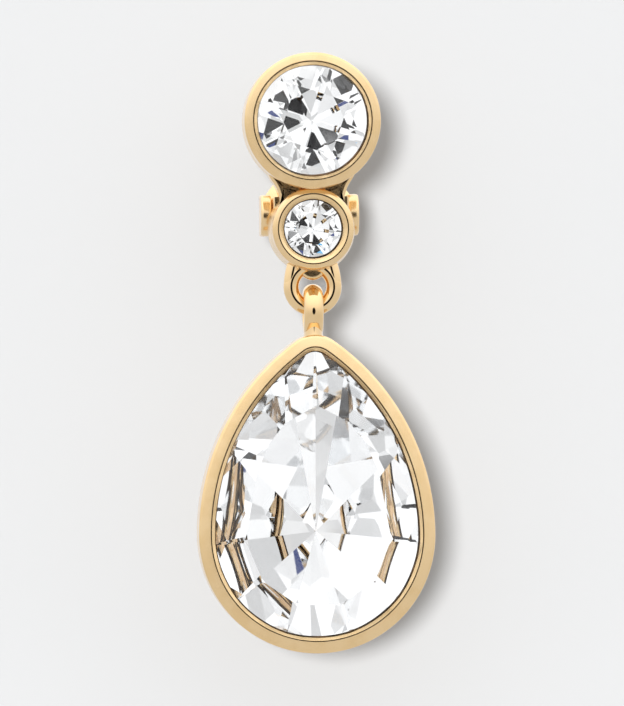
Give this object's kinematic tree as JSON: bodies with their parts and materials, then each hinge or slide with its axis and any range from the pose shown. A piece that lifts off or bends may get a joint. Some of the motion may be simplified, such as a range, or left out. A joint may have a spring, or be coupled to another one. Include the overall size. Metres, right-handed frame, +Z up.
{
  "type": "clip-on teardrop drop earring",
  "caption": "Clip-on drop earring: a large and a small round crystal in one gold setting, with a pear-cut crystal swinging below.",
  "frame": {"origin": "centre of the large cup's flat back, where the ear lobe lies against the setting", "axes": "+Z up along the hanging earring, -Y the way the crystals face, +Y back to the ear lobe and the clip, +X to the viewer's right"},
  "size_m": [0.0146, 0.0106, 0.0369],
  "materials": {
    "gold_casting": "gold plate, satin on the rims and polished on the ring and bail",
    "gold_clip": "polished gold plate",
    "crystal": "clear faceted crystal glass, foiled behind"
  },
  "bodies": {
    "setting": {"double_setting": "gold_casting", "large_round_crystal": "crystal", "small_round_crystal": "crystal", "hinge_pin": "gold_clip"},
    "clip": {"clip_lever": "gold_clip"},
    "drop": {"drop_setting": "gold_casting", "pear_crystal": "crystal"}
  },
  "joints": [
    {"name": "clip_hinge", "type": "hinge", "parent": "setting", "child": "clip", "pos_m": [0, 0.00135, -0.0057], "axis": [-1, 0, 0], "range_deg": [-25, 75]},
    {"name": "drop_swing", "type": "hinge", "parent": "setting", "child": "drop", "pos_m": [0, -0.00155, -0.01148], "axis": [1, 0, 0], "range_deg": [-60, 60]}
  ]
}
